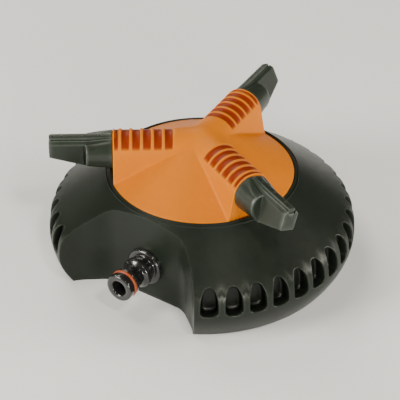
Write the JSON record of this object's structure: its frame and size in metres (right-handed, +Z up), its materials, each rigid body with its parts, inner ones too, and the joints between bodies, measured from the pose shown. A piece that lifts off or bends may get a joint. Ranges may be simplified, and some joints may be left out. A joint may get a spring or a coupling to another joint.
{
  "type": "lawn sprinkler",
  "caption": "Lawn sprinkler with a domed base, a quick-connect hose inlet in a recess, and a spinning rotor with three ribbed arms and turnable nozzles.",
  "frame": {"origin": "on the rotor's axis, at the ground under the base plate", "axes": "+Z up along the rotor's axis, -Y along the inlet plug, away from the base"},
  "size_m": [0.1802, 0.173, 0.082],
  "materials": {
    "base_plastic": "moulded dark grey-green plastic, satin",
    "rotor_plastic": "moulded orange plastic, satin",
    "nozzle_plastic": "moulded dark grey-green plastic, satin",
    "plug_plastic": "gloss black plastic",
    "ring_rubber": "orange rubber",
    "seal_rubber": "black rubber",
    "hose_rubber": "black rubber hose",
    "inner_plastic": "grey plastic",
    "spindle_steel": "turned stainless steel",
    "screw_steel": "zinc plated steel",
    "bush_plastic": "natural acetal"
  },
  "bodies": {
    "base": {"base_shell": "base_plastic", "base_plate": "base_plastic", "base_screws": "screw_steel", "inlet_plug": "plug_plastic", "inlet_ring": "ring_rubber", "inlet_nut": "inner_plastic", "feed_hose": "hose_rubber", "hose_clips": "screw_steel", "riser_elbow": "inner_plastic", "elbow_screws": "screw_steel", "spindle": "spindle_steel", "thrust_washer": "bush_plastic", "spindle_clip": "spindle_steel"},
    "rotor": {"rotor_cover": "rotor_plastic", "rotor_lower_cover": "base_plastic", "rotor_screws": "screw_steel", "rotor_manifold": "inner_plastic", "manifold_lid": "inner_plastic", "rotor_bush": "bush_plastic", "rotor_seal": "seal_rubber", "arm_seal_a": "seal_rubber", "arm_seal_b": "seal_rubber", "arm_seal_c": "seal_rubber"},
    "nozzle_a": {"nozzle_a": "nozzle_plastic", "jet_strip_a": "nozzle_plastic"},
    "nozzle_b": {"nozzle_b": "nozzle_plastic", "jet_strip_b": "nozzle_plastic"},
    "nozzle_c": {"nozzle_c": "nozzle_plastic", "jet_strip_c": "nozzle_plastic"}
  },
  "joints": [
    {"name": "rotor_spin", "type": "hinge", "parent": "base", "child": "rotor", "pos_m": [0, 0, 0.054], "axis": [0, 0, 1], "continuous": true},
    {"name": "nozzle_a_turn", "type": "hinge", "parent": "rotor", "child": "nozzle_a", "pos_m": [-0.04055, -0.02925, 0.0702], "axis": [-0.8111, -0.585, 0], "range_deg": [-35, 55]},
    {"name": "nozzle_b_turn", "type": "hinge", "parent": "rotor", "child": "nozzle_b", "pos_m": [0.04561, -0.0205, 0.0702], "axis": [0.9121, -0.4099, 0], "range_deg": [-30, 60]},
    {"name": "nozzle_c_turn", "type": "hinge", "parent": "rotor", "child": "nozzle_c", "pos_m": [-0.00505, 0.04974, 0.0702], "axis": [-0.1011, 0.9949, 0], "range_deg": [-21, 69]}
  ]
}
